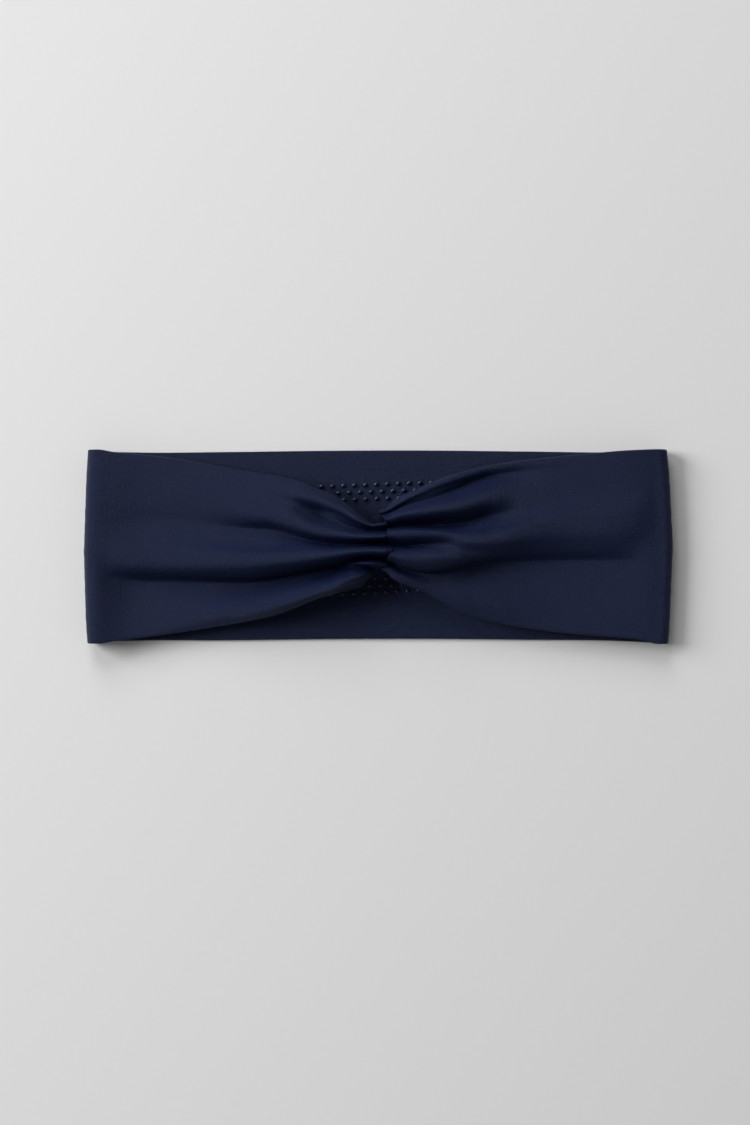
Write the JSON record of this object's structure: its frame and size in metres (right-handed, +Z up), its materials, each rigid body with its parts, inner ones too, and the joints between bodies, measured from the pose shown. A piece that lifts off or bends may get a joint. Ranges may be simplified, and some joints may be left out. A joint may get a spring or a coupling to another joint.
{
  "type": "headband",
  "caption": "Wide stretch-knit headband: a flat-lying loop whose two double-layer front panels are pleated into a sewn knot, with silicone grip dots inside the back.",
  "frame": {"origin": "under the middle of the loop, on the surface that the back panel lies on", "axes": "+X from side fold to side fold, towards the right front panel; +Y across the band, towards the edge worn uppermost; +Z up, towards the sewn knot"},
  "size_m": [0.2332, 0.0782, 0.0137],
  "materials": {
    "knit_shell": "matte dark navy interlock knit",
    "knit_lining": "matte dark navy interlock knit, inner face",
    "silicone": "glossy translucent navy silicone",
    "binding_tape": "narrow folded stretch binding, overlocked",
    "thread": "textured polyester sewing thread"
  },
  "bodies": {
    "root": {"front_left_shell": "knit_shell", "front_left_lining": "knit_lining", "front_right_shell": "knit_shell", "front_right_lining": "knit_lining", "back_shell": "knit_shell", "back_lining": "knit_lining", "grip_dots": "silicone", "centre_seam_binding": "binding_tape", "centre_seam_thread": "thread", "binding_thread": "thread", "left_side_seam_thread": "thread", "right_side_seam_thread": "thread", "front_left_edge_thread": "thread", "front_right_edge_thread": "thread", "back_edge_thread": "thread"}
  },
  "joints": []
}
